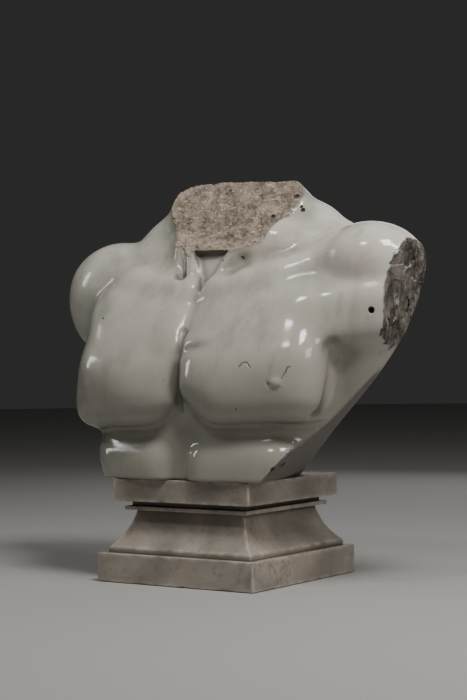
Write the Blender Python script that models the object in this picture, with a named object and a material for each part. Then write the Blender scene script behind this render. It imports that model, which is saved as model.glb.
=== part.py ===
"""Marble torso on its moulded plinth, in metres, +Z up, chest towards -Y.

The torso is modelled as a sculptor blocks it out: rounded masses of muscle are joined with soft blends
into one form, a skin is laid over that form, and flat cuts make its breaks and its sawn faces.
Places in the torso are measured on a study that stands with its underside at height 0, and the whole
study is then brought to TORSO_HEIGHT. The figure's left side is +X.
"""
import itertools
import math

import bmesh
import bpy
import numpy as np
from mathutils import Vector

# Driving dimensions of the plinth, bottom to top
BASE_WIDTH = 0.300
BASE_HEIGHT = 0.0454
LOWER_FILLET_WIDTH = 0.2736
LOWER_FILLET_HEIGHT = 0.0083
COVE_HEIGHT = 0.0590
COVE_HOLLOW = 0.0055
COVE_TOP_WIDTH = 0.2070
UPPER_FILLET_WIDTH = 0.2354
UPPER_FILLET_HEIGHT = 0.0063
RECESS_WIDTH = 0.2180
RECESS_HEIGHT = 0.0087
TOP_WIDTH = 0.2612
TOP_HEIGHT = 0.0360
PLINTH_WEAR = 0.0015
COVE_STEPS = 8

# Driving dimensions of the torso
TORSO_HEIGHT = 0.4805
RESTING_GAP = 0.0003
STUDY_LOW = (-0.345, -0.175, -0.030)
STUDY_HIGH = (0.375, 0.140, 0.500)
SKIN_CELL = 0.0066
SKIN_FACES_KEPT = 8600
LEAST_VALUE = 0.12

# Flat cuts on the study: a point on the cut and the direction in which stone is taken away.
# The right arm's is mirrored, as all places on the figure's right are. The neck's two reach NECK_SPREAD
# beyond the neck's own masses.
UNDERSIDE = ((0.0, 0.0, 0.0), (0.0, 0.0, -1.0))
NECK_BREAK = ((0.0, -0.050, 0.3605), (0.0, -0.749, 0.662))
NECK_TOP = ((0.0, 0.050, 0.4835), (0.06, 0.35, 1.0))
NECK_SPREAD = 0.004
LEFT_ARM_BREAK = ((0.3299, 0.0, 0.296), (1.0, -0.12, -0.24))
RIGHT_ARM_BREAK = ((0.285, 0.040, 0.226), (0.45, 0.35, -0.80))
SIDE_CUT_CORNERS = ((0.1563, -0.1275, 0.004), (0.1109, 0.0638, 0.004), (0.2518, 0.015, 0.140))
CUT_SPARE = 0.012


def turned(points, degrees):
    """Points seen from a mass that is turned about X, then Y, then Z."""
    ax, ay, az = (math.radians(angle) for angle in degrees)
    about_x = np.array([[1, 0, 0], [0, math.cos(ax), -math.sin(ax)], [0, math.sin(ax), math.cos(ax)]])
    about_y = np.array([[math.cos(ay), 0, math.sin(ay)], [0, 1, 0], [-math.sin(ay), 0, math.cos(ay)]])
    about_z = np.array([[math.cos(az), -math.sin(az), 0], [math.sin(az), math.cos(az), 0], [0, 0, 1]])
    return points @ (about_z @ about_y @ about_x)


def pad(points, centre, radii, fullness=2.0, turn=(0, 0, 0)):
    """Distance to a rounded mass: fullness 2 is an ellipsoid, and more is closer to a box."""
    local = turned(points - np.array(centre), turn)
    radii = np.array(radii, float)
    power = np.array(fullness, float) * np.ones(3)
    top = power.max()
    share = np.abs(local) / radii
    total = np.maximum((share ** power).sum(1), 1e-9)
    reach = total ** (1 / top)
    slope = (power / top) * share ** (power - 1) / radii * (total ** (1 / top - 1))[:, None]
    return (reach - 1) / np.maximum(np.sqrt((slope ** 2).sum(1)), 1e-3)


def limb(points, start, end, start_radius, end_radius):
    """Distance to a round bar that tapers from one end to the other."""
    start = np.array(start)
    along = np.array(end) - start
    share = np.clip((points - start) @ along / (along @ along), 0, 1)
    gap = np.linalg.norm(points - start - share[:, None] * along, axis=1)
    return gap - (start_radius + (end_radius - start_radius) * share)


def beyond(points, cut):
    """Height above a flat cut, positive on the side that is taken away."""
    through, direction = (np.array(value, float) for value in cut)
    return (points - through) @ (direction / np.linalg.norm(direction))


def join(first, second, blend):
    """Two masses as one, with a soft fillet between them."""
    share = np.clip(0.5 + 0.5 * (second - first) / blend, 0, 1)
    return second * (1 - share) + first * share - blend * share * (1 - share)


def trim(mass, limit, blend):
    """What of a mass lies inside a limit, with an eased edge."""
    return -join(-mass, -limit, blend)


def furrow(points, route, width, depth):
    """How far a soft groove along a route of points takes the surface back."""
    gap = np.full(len(points), np.inf)
    for start, end in zip(route[:-1], route[1:]):
        gap = np.minimum(gap, limb(points, start, end, 0, 0))
    return depth * np.exp(-(gap / width) ** 2)


def dent(points, centre, width, depth, turn=(0, 0, 0)):
    """How far a soft round hollow takes the surface back; a negative depth is a bump."""
    gap = (turned(points - np.array(centre), turn) / np.array(width)) ** 2
    return depth * np.exp(-gap.sum(1))


def mirrored(points):
    """The points as the figure's right side sees them, so that its masses are written with +X."""
    return points * np.array([-1, 1, 1])


def trunk(points):
    """The rib cage and the shoulders' girdle that carry every other mass."""
    left = points
    right = mirrored(points)
    body = pad(points, (0, -0.012, 0.036), (0.208, 0.112, 0.22), 3.2)
    body = join(body, pad(points, (0, -0.002, 0.196), (0.226, 0.118, 0.16), 2.4), 0.04)
    body = join(body, limb(points, (-0.20, 0.02, 0.311), (0.20, 0.02, 0.321), 0.066, 0.066), 0.05)
    body = join(body, limb(left, (0.175, 0.02, 0.096), (0.255, 0.015, 0.236), 0.050, 0.058), 0.03)
    return join(body, limb(right, (0.17, 0.02, 0.106), (0.225, 0.02, 0.236), 0.045, 0.05), 0.04)


def back(points):
    """Shoulder blades, broad back muscles and the two columns beside the spine."""
    muscles = None
    for side in (points, mirrored(points)):
        blade = pad(side, (0.115, 0.058, 0.261), (0.085, 0.052, 0.080), 2.0, (0, -18, 0))
        broad = pad(side, (0.120, 0.040, 0.141), (0.085, 0.068, 0.100), 2.0, (0, 14, 0))
        column = limb(side, (0.034, 0.072, -0.004), (0.030, 0.078, 0.196), 0.030, 0.026)
        half = join(join(blade, broad, 0.03), column, 0.02)
        muscles = half if muscles is None else join(muscles, half, 0.01)
    return muscles


def neck(points):
    """Neck column and trapezius ridges, as they were before the neck broke."""
    left = points
    right = mirrored(points)
    left_wall = beyond(left, ((0.106, 0, 0.416), (1, -0.50, -0.10)))
    right_wall = beyond(right, ((0.090, 0, 0.416), (1, -0.66, 0.10)))
    column = trim(left_wall, right_wall, 0.01)
    column = trim(column, pad(points, (-0.012, 0.0025, 0.30), (0.150, 0.0535, 0.40), 2.8), 0.02)
    column = trim(column, beyond(points, ((0, 0, 0.306), (0, 0, -1))), 0.03)
    left_ridge = ((0.02, 0.044, 0.430), (0.092, 0.055, 0.430), (0.147, 0.053, 0.398), (0.216, 0.044, 0.362))
    right_ridge = ((0.02, 0.044, 0.430), (0.087, 0.055, 0.429), (0.142, 0.050, 0.386), (0.204, 0.044, 0.338))
    for side, ridge_line in ((left, left_ridge), (right, right_ridge)):
        ridge = limb(side, (0.06, 0.03, 0.336), (0.15, 0.03, 0.346), 0.05, 0.05)
        for start, end in zip(ridge_line[:-1], ridge_line[1:]):
            ridge = join(ridge, limb(side, start, end, 0.035, 0.034), 0.02)
        column = join(column, ridge, 0.04)
    return join(column, pad(left, (0.096, 0.012, 0.362), (0.072, 0.052, 0.056)), 0.02)


def throat_walls(points):
    """Sides between which the neck broke away."""
    left_wall = beyond(points, ((0.122, 0, 0.416), (1, -0.50, -0.10)))
    return np.maximum(left_wall, beyond(mirrored(points), ((0.108, 0, 0.416), (1, -0.66, 0.10))))


def bar(points, route, radii, blend):
    """A round bar through a route of points, with a radius at each of them."""
    whole = None
    for start, end, start_radius, end_radius in zip(route[:-1], route[1:], radii[:-1], radii[1:]):
        piece = limb(points, start, end, start_radius, end_radius)
        whole = piece if whole is None else join(whole, piece, blend)
    return whole


def throat(points):
    """The two tendons that run up from the notch between the collar bones."""
    left = ((0.002, -0.066, 0.285), (0.015, -0.060, 0.304), (0.030, -0.053, 0.328), (0.048, -0.042, 0.372))
    right = ((-0.014, -0.064, 0.283), (-0.021, -0.060, 0.305),
             (-0.027, -0.053, 0.331), (-0.034, -0.042, 0.375))
    return np.minimum(bar(points, left, (0.006, 0.008, 0.0095, 0.011), 0.004),
                      bar(points, right, (0.0085, 0.0112, 0.0118, 0.0125), 0.004))


def throat_wedge(points):
    """The hollow between the two tendons, to be cut out."""
    route = ((0.0155, -0.0640, 0.3620), (0.0128, -0.0643, 0.3480),
             (0.0096, -0.0650, 0.3304), (0.0034, -0.0700, 0.3065))
    return bar(points, route, (0.0245, 0.0190, 0.0125, 0.0036), 0.006)


def throat_hollows(points):
    """Hollows beside the two tendons, above the collar bones."""
    left = ((0.056, -0.058, 0.326), (0.068, -0.050, 0.342))
    right = ((-0.047, -0.056, 0.322), (-0.054, -0.050, 0.345), (-0.062, -0.043, 0.372))
    return furrow(points, left, 0.014, 0.005) + furrow(points, right, 0.0095, 0.013)


def collar_bones(points):
    """The two bones, each a round bar along a curve from the notch to the shoulder."""
    left = ((0.010, -0.060, 0.299), (0.115, -0.072, 0.308), (0.206, -0.021, 0.345))
    right = ((0.018, -0.058, 0.299), (0.110, -0.064, 0.309), (0.205, -0.016, 0.331))
    bones = None
    for side, (start, bend, end) in ((points, left), (mirrored(points), right)):
        share = np.linspace(0, 1, 8)[:, None]
        route = (1 - share) ** 2 * np.array(start) + 2 * share * (1 - share) * np.array(bend)
        route += share ** 2 * np.array(end)
        bone = bar(side, route, np.linspace(0.009, 0.013, 8), 0.001)
        bones = bone if bones is None else np.minimum(bones, bone)
    return bones


def left_arm(points):
    """Stump of the raised left arm, with the tendon that ties it to the chest."""
    stump = pad(points, (0.290, 0.004, 0.306), (0.10, 0.052, 0.062), 2.2, (0, -6, 8))
    front = pad(points, (0.258, -0.030, 0.252), (0.125, 0.040, 0.047), (2.6, 2.6, 3.0), (0, -3, 9))
    return join(stump, front, 0.03)


def breast(side, drop, spread, lean):
    """One pectoral: its upper part, its lower part and the thick edge along the breastbone."""
    upper = pad(side, (0.104, -0.018, 0.224), (0.146, 0.117, 0.116), 2.0, (6, -8, 8))
    lower_middle = (0.117 + spread / 2, -0.030, 0.1575 - drop)
    lower = pad(side, lower_middle, (0.114 + spread / 2, 0.122, 0.0765), (4.6, 3.0, 3.5), (0, lean, 13))
    edge = limb(side, (0.0335, -0.114, 0.150 - 1.6 * drop), (0.0335, -0.106, 0.210), 0.033, 0.033)
    edge = join(edge, limb(side, (0.0335, -0.106, 0.210), (0.0335, -0.066, 0.280), 0.033, 0.026), 0.02)
    return join(join(upper, lower, 0.04), edge, 0.035)


def shoulders(points):
    """The left shoulder and the right one, whose arm is broken off."""
    right = mirrored(points)
    left_ball = pad(points, (0.272, 0.010, 0.337), (0.086, 0.066, 0.062), 2.0, (0, 4, 0))
    right_ball = pad(right, (0.2204, 0.02, 0.300), (0.1034, 0.076, 0.088))
    right_ball = join(right_ball, pad(right, (0.258, 0.02, 0.262), (0.05, 0.055, 0.06)), 0.03)
    right_ball = trim(right_ball, beyond(right, RIGHT_ARM_BREAK), 0.003)
    return np.minimum(left_ball, right_ball)


def belly(points):
    """The uppermost pair of belly muscles, cut through by the underside."""
    right_points = mirrored(points)
    left = pad(points, (0.095, -0.030, -0.003), (0.108, 0.1085, 0.0850), (5.5, 2.6, 3.4), (0, 0, 6))
    right = pad(right_points, (0.094, -0.030, -0.005), (0.106, 0.1065, 0.0835), (5.5, 2.5, 3.4), (0, 0, 8))
    middle = limb(points, (0, -0.103, -0.030), (0, -0.101, 0.034), 0.0290, 0.018)
    return join(join(left, right, 0.004), middle, 0.008)


def chest_slope(points, set_back):
    """Limit of the upper chest, which leans back from the breasts to the collar bones: flat across, with
    a shallow trough over the breastbone."""
    trough = 0.006 * np.exp(-(points[:, 0] / 0.026) ** 2)
    return beyond(points, ((0, -0.1225, 0.2245), (0, -0.842, 0.539))) + set_back + trough


def flanks(points, chest):
    """Limit of the trunk's sides: the waist and the broad back muscles draw in towards the base, and the
    right breast stands proud of the waist below it."""
    waist = beyond(points, ((0.1164, 0.0395, 0.004), (0.669, 0.461, -0.536)))
    lat = beyond(points, ((0.2299, 0.0723, 0.1533), (0.623, 0.430, -0.749)))
    right_flank = beyond(mirrored(points), ((0.2895, 0.0, 0.1673), (0.803, -0.553, 0.125)))
    right_foot = beyond(mirrored(points), ((0.2515, 0.0, 0.0414), (0.786, -0.541, -0.296)))
    left_side = join(waist, lat, 0.02)
    right_side = trim(right_flank, join(right_foot, chest, 0.006), 0.02)
    return trim(left_side, right_side, 0.02) - 0.004


def armpit(points):
    """The left armpit and the fold where the breast ends at the flank."""
    fold = ((0.2446, -0.0701, 0.2070), (0.2478, -0.0585, 0.1980), (0.2421, -0.0580, 0.1796),
            (0.2385, -0.0642, 0.1570), (0.2353, -0.0724, 0.1344), (0.2204, -0.0822, 0.1089))
    hollow = dent(points, (0.252, -0.048, 0.190), (0.022, 0.022, 0.018), 0.012)
    return furrow(points, fold, 0.010, 0.007) + hollow


def upper_breast(points):
    """The fold at the top of the left breast and the dimple on the right one."""
    depth = dent(points, (0.030, -0.128, 0.2045), (0.027, 0.020, 0.0095), 0.0036, (0, -10, 0))
    depth += dent(points, (0.042, -0.124, 0.2200), (0.034, 0.020, 0.0095), -0.0018, (0, -10, 0))
    return depth + dent(points, (-0.046, -0.131, 0.2010), (0.022, 0.020, 0.0170), 0.0024, (0, 20, 0))


def torso_form(points):
    """Distance from points on the study to the torso with its neck and right arm broken off, negative
    inside. The underside, the side cut and the left arm's break are sawn later."""
    height = points[:, 2]
    body = join(trunk(points), back(points), 0.02)
    body = trim(body, chest_slope(points, 0.006), 0.03)
    body = body + furrow(points, ((0, 0.105, -0.004), (0, 0.112, 0.236), (0, 0.100, 0.356)), 0.017, 0.010)
    neck_stone = neck(points)
    body = join(body, neck_stone, 0.02)
    rise = np.clip((height - 0.09) / 0.18, 0, 1)
    chest_blend = 0.006 + 0.016 * rise * rise * (3 - 2 * rise)
    chest = join(breast(points, 0.0, 0.0, -3), breast(mirrored(points), 0.010, 0.006, 3), 0.003)
    chest = trim(chest, chest_slope(points, 0.0), 0.02)
    body = join(body, chest, chest_blend)
    body = join(body, belly(points), 0.008)
    body = body + furrow(points, ((0, -0.122, 0.088), (0, -0.122, 0.084)), 0.026, 0.007)
    body = body + furrow(points, ((0, -0.130, 0.070), (0, -0.131, -0.02)), 0.0065, 0.0040)
    body = trim(body, flanks(points, chest), 0.02)
    body = join(body, left_arm(points), 0.03)
    body = join(body, shoulders(points), 0.009)
    body = join(body, collar_bones(points), 0.030)
    body = body + throat_hollows(points)
    tendons = throat(points)
    body = join(body, tendons, 0.006)
    body = trim(body, -throat_wedge(points), 0.003)
    broken_off = np.maximum(np.minimum(neck_stone, tendons), throat_walls(points))
    for cut in (NECK_BREAK, NECK_TOP):
        body = trim(body, join(beyond(points, cut), NECK_SPREAD - broken_off, 0.004), 0.003)
    body = body + armpit(points) + upper_breast(points)
    for cut in (UNDERSIDE, LEFT_ARM_BREAK):
        body = np.maximum(body, beyond(points, cut) - CUT_SPARE)
    return body


def side_cut():
    """The slanting saw cut at the figure's left, through three corners that show in the stone."""
    near, far, high = (Vector(corner) for corner in SIDE_CUT_CORNERS)
    direction = (far - near).cross(high - near)
    if direction.x < 0:
        direction.negate()
    return tuple(near), tuple(direction)


def skin(form, low, high, cell):
    """Closed skin of triangles on a form: each grid cube is split into six tetrahedra round its diagonal,
    and each tetrahedron that the surface crosses gives one or two triangles."""
    axes = [np.arange(start, end + cell, cell) for start, end in zip(low, high)]
    shape = [len(axis) for axis in axes]
    grid = np.stack(np.meshgrid(*axes, indexing="ij"), -1).reshape(-1, 3)
    values = np.concatenate([form(slab) for slab in np.array_split(grid, shape[0])])
    least = LEAST_VALUE * cell
    values = np.where(np.abs(values) < least, np.where(values < 0, -least, least), values)
    stride = np.array([shape[1] * shape[2], shape[2], 1])
    steps_along = [np.arange(count - 1) for count in shape]
    cubes = np.stack(np.meshgrid(*steps_along, indexing="ij"), -1).reshape(-1, 3)
    first = cubes @ stride
    edges = []
    for order in itertools.permutations(range(3)):
        steps = np.cumsum([0] + [stride[axis] for axis in order])
        corners = first[:, None] + steps
        inside = values[corners] < 0
        number = inside.sum(1)
        corners, inside, number = (part[(number > 0) & (number < 4)] for part in (corners, inside, number))
        sorted_corners = np.take_along_axis(corners, np.argsort(~inside, 1, kind="stable"), 1)
        a, b, c, d = sorted_corners.T
        one, two, three = (number == count for count in (1, 2, 3))
        edges.append(np.stack([a, b, a, c, a, d], 1)[one])
        edges.append(np.stack([a, d, b, d, c, d], 1)[three])
        edges.append(np.stack([a, c, a, d, b, d], 1)[two])
        edges.append(np.stack([a, c, b, d, b, c], 1)[two])
    edges = np.concatenate(edges).reshape(-1, 2)
    pairs, places = np.unique(edges, axis=0, return_inverse=True)
    share = values[pairs[:, 0]] / (values[pairs[:, 0]] - values[pairs[:, 1]])
    vertices = grid[pairs[:, 0]] + share[:, None] * (grid[pairs[:, 1]] - grid[pairs[:, 0]])
    triangles = places.reshape(-1, 3)
    outward = (grid[edges[:, 1]] - grid[edges[:, 0]]).reshape(-1, 3, 3).sum(1)
    corner = vertices[triangles]
    facing = (np.cross(corner[:, 1] - corner[:, 0], corner[:, 2] - corner[:, 0]) * outward).sum(1)
    triangles = np.where((facing < 0)[:, None], triangles[:, ::-1], triangles)
    return vertices, triangles


def stone(name, colour, roughness):
    material = bpy.data.materials.new(name)
    material.use_nodes = True
    shader = material.node_tree.nodes["Principled BSDF"]
    shader.inputs["Base Color"].default_value = (*colour, 1)
    shader.inputs["Roughness"].default_value = roughness
    shader.inputs["Metallic"].default_value = 0
    return material


def placed(name, vertices, faces):
    mesh = bpy.data.meshes.new(name)
    mesh.from_pydata([tuple(vertex) for vertex in vertices], [], [tuple(face) for face in faces])
    mesh.update()
    thing = bpy.data.objects.new(name, mesh)
    bpy.context.scene.collection.objects.link(thing)
    return thing


def saw(target, name, cut, size):
    """Take away what lies beyond a flat cut: a block with one face on the cut, as an exact Boolean."""
    through, direction = (Vector(value) for value in cut)
    mesh = bpy.data.meshes.new(name)
    block = bmesh.new()
    bmesh.ops.create_cube(block, size=size)
    bmesh.ops.translate(block, verts=block.verts, vec=(0, 0, size / 2))
    block.to_mesh(mesh)
    block.free()
    cutter = bpy.data.objects.new(name, mesh)
    bpy.context.scene.collection.objects.link(cutter)
    cutter.rotation_euler = direction.to_track_quat("Z", "Y").to_euler()
    cutter.location = through
    cutter.display_type = "WIRE"
    cutter.hide_render = True
    cutter.parent = target
    modifier = target.modifiers.new(name, "BOOLEAN")
    modifier.operation = "DIFFERENCE"
    modifier.solver = "EXACT"
    modifier.object = cutter


def make_torso(underside_height):
    vertices, triangles = skin(torso_form, STUDY_LOW, STUDY_HIGH, SKIN_CELL)
    study_height = vertices[:, 2].max()
    torso = placed("torso", vertices, triangles)
    thin = torso.modifiers.new("fewer faces", "DECIMATE")
    thin.decimate_type = "COLLAPSE"
    thin.use_collapse_triangulate = True
    thin.ratio = SKIN_FACES_KEPT / len(triangles)
    cuts = {
        "underside cut": UNDERSIDE,
        "side cut": side_cut(),
        "left arm break": LEFT_ARM_BREAK,
    }
    for name, cut in cuts.items():
        saw(torso, name, cut, size=2 * study_height)
    torso.scale = (TORSO_HEIGHT / study_height,) * 3
    torso.location = (0, 0, underside_height)
    torso.data.materials.append(stone("polished marble", (0.72, 0.70, 0.65), 0.18))
    return torso


def cove(start, end, hollow, steps):
    """Points of a hollow curve from one half-width and height to another, both ends included."""
    start, end = Vector(start), Vector(end)
    chord = end - start
    inward = Vector((-chord.y, chord.x)).normalized()
    if inward.x > 0:
        inward.negate()
    curve = []
    for number in range(steps + 1):
        share = number / steps
        curve.append(start + share * chord + inward * hollow * 4 * share * (1 - share))
    return [tuple(point) for point in curve]


def plinth_profile():
    """Half-width and height of each edge of the plinth's moulding, from the floor up."""
    wear = PLINTH_WEAR
    fillet_foot = BASE_HEIGHT
    cove_foot = fillet_foot + LOWER_FILLET_HEIGHT
    cove_top = cove_foot + COVE_HEIGHT
    recess_foot = cove_top + UPPER_FILLET_HEIGHT
    slab_foot = recess_foot + RECESS_HEIGHT
    top = slab_foot + TOP_HEIGHT
    profile = [(BASE_WIDTH / 2 - wear, 0), (BASE_WIDTH / 2, wear)]
    profile += [(BASE_WIDTH / 2, fillet_foot - 2 * wear), (BASE_WIDTH / 2 - 2 * wear, fillet_foot)]
    profile += [(LOWER_FILLET_WIDTH / 2, fillet_foot)]
    cove_ends = ((LOWER_FILLET_WIDTH / 2, cove_foot), (COVE_TOP_WIDTH / 2, cove_top))
    profile += cove(*cove_ends, COVE_HOLLOW, COVE_STEPS)
    profile += [(UPPER_FILLET_WIDTH / 2, cove_top), (UPPER_FILLET_WIDTH / 2, recess_foot)]
    profile += [(RECESS_WIDTH / 2, recess_foot), (RECESS_WIDTH / 2, slab_foot)]
    profile += [(TOP_WIDTH / 2 - wear, slab_foot), (TOP_WIDTH / 2, slab_foot + wear)]
    profile += [(TOP_WIDTH / 2, top - wear), (TOP_WIDTH / 2 - wear, top)]
    return profile


def make_plinth():
    """A square block whose moulding runs round all four sides, with slightly worn corners."""
    rings = plinth_profile()
    vertices = []
    for half, height in rings:
        eased = half - PLINTH_WEAR
        corners = ((half, eased), (eased, half), (-eased, half), (-half, eased))
        corners += tuple((-x, -y) for x, y in corners)
        vertices += [(x, y, height) for x, y in corners]
    sides = 8
    faces = [tuple(reversed(range(sides)))]
    for ring in range(len(rings) - 1):
        for side in range(sides):
            after = (side + 1) % sides
            lower, upper = ring * sides, (ring + 1) * sides
            faces.append((lower + side, lower + after, upper + after, upper + side))
    last = (len(rings) - 1) * sides
    faces.append(tuple(range(last, last + sides)))
    plinth = placed("plinth", vertices, faces)
    plinth.data.materials.append(stone("honed marble", (0.52, 0.49, 0.44), 0.45))
    return plinth, rings[-1][1]


def main():
    for thing in list(bpy.data.objects):
        bpy.data.objects.remove(thing)
    plinth, plinth_top = make_plinth()
    torso = make_torso(plinth_top + RESTING_GAP)
    bpy.context.view_layer.update()
    return plinth, torso


main()
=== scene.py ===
"""Looks of the marble torso on its plinth: a finely carved skin over the torso's masses with rough breaks,
a worn plinth, procedural stone and soft studio light. Metres, +Z up, chest towards -Y, figure's left +X."""
import itertools
import math

import bpy
import numpy as np
from mathutils import Matrix, Vector


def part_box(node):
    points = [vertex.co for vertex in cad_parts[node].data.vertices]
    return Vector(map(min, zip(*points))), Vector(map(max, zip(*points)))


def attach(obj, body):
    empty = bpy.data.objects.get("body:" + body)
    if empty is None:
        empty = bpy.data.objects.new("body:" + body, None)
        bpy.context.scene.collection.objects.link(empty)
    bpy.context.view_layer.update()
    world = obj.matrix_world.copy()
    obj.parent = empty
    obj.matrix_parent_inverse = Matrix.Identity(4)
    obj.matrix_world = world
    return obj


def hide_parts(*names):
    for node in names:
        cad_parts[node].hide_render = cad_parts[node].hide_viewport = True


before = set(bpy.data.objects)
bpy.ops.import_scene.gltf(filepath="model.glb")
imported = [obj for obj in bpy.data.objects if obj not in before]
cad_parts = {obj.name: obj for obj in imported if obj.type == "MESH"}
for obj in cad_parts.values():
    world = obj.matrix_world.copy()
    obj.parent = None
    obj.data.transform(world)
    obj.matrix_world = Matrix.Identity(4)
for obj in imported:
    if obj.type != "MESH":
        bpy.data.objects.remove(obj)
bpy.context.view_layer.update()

TORSO_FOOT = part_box("torso")[0][2]

# Camera as fitted to the photograph: degrees and metres, and its lens and sensor in millimetres
CAMERA_AZIMUTH = 34.57
CAMERA_ELEVATION = -0.05
CAMERA_ROLL = -0.73
CAMERA_DISTANCE = 2.852
CAMERA_SIDEWAYS = 0.014
CAMERA_HEIGHT = 0.367
CAMERA_LENS = 90.26
CAMERA_SENSOR = 36
CAMERA_NEAR = 0.05

# Cuts and breaks, measured from the torso's underside: a point and the direction in which stone is gone
UNDERSIDE = ((0.0, 0.0, 0.0), (0.0, 0.0, -1.0))
NECK_BREAK = ((0.0, -0.050, 0.3605), (0.0, -0.749, 0.662))
NECK_TOP = ((0.0, 0.050, 0.4835), (0.06, 0.35, 1.0))
NECK_SPREAD = 0.004
LEFT_ARM_BREAK = ((0.3299, 0.0, 0.296), (1.0, -0.12, -0.24))
RIGHT_ARM_BREAK = ((0.285, 0.040, 0.226), (0.45, 0.35, -0.80))
SIDE_CUT_CORNERS = ((0.1563, -0.1275, 0.004), (0.1109, 0.0638, 0.004), (0.2518, 0.015, 0.140))

# Grid for the torso's skin: its cell, how many cells one coarse cell spans, and its reach
SKIN_CELL = 0.0054
COARSE_STEP = 4
FIELD_LOW = (-0.345, -0.175, -0.014)
FIELD_HIGH = (0.375, 0.140, 0.500)

# Rounds that split the skin's triangles: how near small damage, and whether on the breaks too
SPLITTING = ((0.0110, True), (0.0077, True), (0.0033, False))
# How far out the stone is felt for, to tell a hollow in it, where shade is painted
HOLLOW_REACHES = (0.010, 0.028)

COLLAR_BONE_STEPS = 8
CRACK_WIDTH = 0.0009
CRACK_DEPTH = 0.0013
DIRT_SPREAD = 0.0006


def turned(points, degrees):
    """Points seen from a mass that is turned about X, then Y, then Z."""
    ax, ay, az = (math.radians(angle) for angle in degrees)
    about_x = np.array([[1, 0, 0], [0, math.cos(ax), -math.sin(ax)], [0, math.sin(ax), math.cos(ax)]])
    about_y = np.array([[math.cos(ay), 0, math.sin(ay)], [0, 1, 0], [-math.sin(ay), 0, math.cos(ay)]])
    about_z = np.array([[math.cos(az), -math.sin(az), 0], [math.sin(az), math.cos(az), 0], [0, 0, 1]])
    return points @ (about_z @ about_y @ about_x)


def pad(points, centre, radii, fullness=2.0, turn=(0, 0, 0)):
    """Distance to a rounded mass: fullness 2 is an ellipsoid, and more is closer to a box."""
    local = turned(points - np.array(centre), turn)
    radii = np.array(radii, float)
    power = np.array(fullness, float) * np.ones(3)
    top = power.max()
    share = np.abs(local) / radii
    total = np.maximum((share ** power).sum(1), 1e-9)
    reach = total ** (1 / top)
    slope = (power / top) * share ** (power - 1) / radii * (total ** (1 / top - 1))[:, None]
    return (reach - 1) / np.maximum(np.sqrt((slope ** 2).sum(1)), 1e-3)


def limb(points, start, end, start_radius, end_radius):
    """Distance to a round bar that tapers from one end to the other."""
    start = np.array(start)
    along = np.array(end) - start
    share = np.clip((points - start) @ along / (along @ along), 0, 1)
    gap = np.linalg.norm(points - start - share[:, None] * along, axis=1)
    return gap - (start_radius + (end_radius - start_radius) * share)


def beyond(points, cut):
    """Height above a flat cut, positive on the side that is taken away."""
    through, direction = (np.array(value, float) for value in cut)
    return (points - through) @ (direction / np.linalg.norm(direction))


def join(first, second, blend):
    """Two masses as one, with a soft fillet between them."""
    share = np.clip(0.5 + 0.5 * (second - first) / blend, 0, 1)
    return second * (1 - share) + first * share - blend * share * (1 - share)


def trim(mass, limit, blend):
    """What of a mass lies inside a limit, with an eased edge."""
    return -join(-mass, -limit, blend)


def furrow(points, route, width, depth):
    """How far a soft groove along a route of points takes the surface back; a negative depth is a ridge."""
    gap = np.full(len(points), np.inf)
    for start, end in zip(route[:-1], route[1:]):
        gap = np.minimum(gap, limb(points, start, end, 0, 0))
    return depth * np.exp(-(gap / width) ** 2)


def dent(points, centre, width, depth, turn=(0, 0, 0)):
    """How far a soft round hollow takes the surface back; a negative depth is a bump."""
    gap = (turned(points - np.array(centre), turn) / np.array(width)) ** 2
    return depth * np.exp(-gap.sum(1))


def mirrored(points):
    """The points as the figure's right side sees them, so that its masses are written with +X."""
    return points * np.array([-1, 1, 1])


def hashed(cells, seed):
    """One steady number from -1 to 1 for each cell of a lattice."""
    x, y, z = (cells[:, axis].astype(np.uint32) for axis in range(3))
    mixed = x * np.uint32(374761393) + y * np.uint32(668265263) + z * np.uint32(1440662683)
    mixed = mixed + np.uint32(seed * 2246822519 % 2 ** 32)
    mixed = (mixed ^ (mixed >> np.uint32(13))) * np.uint32(1274126177)
    mixed = mixed ^ (mixed >> np.uint32(16))
    return mixed.astype(np.float64) / 2147483647.5 - 1


def lumps(points, size, seed):
    """Smooth noise from -1 to 1 with lumps about as large as size, a number or one for each axis."""
    place = points / np.array(size, float)
    cell = np.floor(place).astype(np.int64)
    share = place - cell
    share = share * share * (3 - 2 * share)
    total = np.zeros(len(points))
    for corner in itertools.product((0, 1), repeat=3):
        weight = np.prod(np.where(np.array(corner) == 1, share, 1 - share), axis=1)
        total += weight * hashed(cell + np.array(corner), seed)
    return total


def broken(points, cut, relief, reach=0.03):
    """Height above a break: a cut whose face is made uneven by relief, a function of points."""
    height = beyond(points, cut)
    near = np.abs(height) < reach
    height[near] += relief(points[near])
    return height


def neck_relief(points):
    """Roughness of the neck break: broad waves, coarse grains and pits."""
    waves = 0.0030 * lumps(points, 0.045, 1) + 0.0022 * lumps(points, 0.017, 2)
    grains = 0.0014 * lumps(points, 0.0075, 3) + 0.0010 * lumps(points, 0.0036, 4)
    pits = 0.004 * np.maximum(lumps(points, 0.010, 5) - 0.45, 0)
    return waves + grains + pits


def arm_relief(points):
    """Roughness of the arm break: upright layers that step down, with fine grain between them."""
    layer = 0.0060 * lumps(points, (0.03, 0.022, 0.060), 11)
    step = 0.0040 * np.round(1.5 * lumps(points, (0.02, 0.014, 0.045), 12)) / 1.5
    grain = 0.0022 * lumps(points, (0.007, 0.005, 0.013), 13)
    grain = grain + 0.0012 * lumps(points, (0.004, 0.003, 0.006), 14)
    kept = dent(points, (0.325, -0.055, 0.235), (0.05, 0.045, 0.055), -0.014)
    return layer + step + grain + kept


def small_break_relief(points):
    """Roughness of the right arm's break."""
    waves = 0.0020 * lumps(points, 0.018, 21)
    return waves + 0.0012 * lumps(points, 0.007, 22) + 0.0007 * lumps(points, 0.0035, 23)


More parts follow.
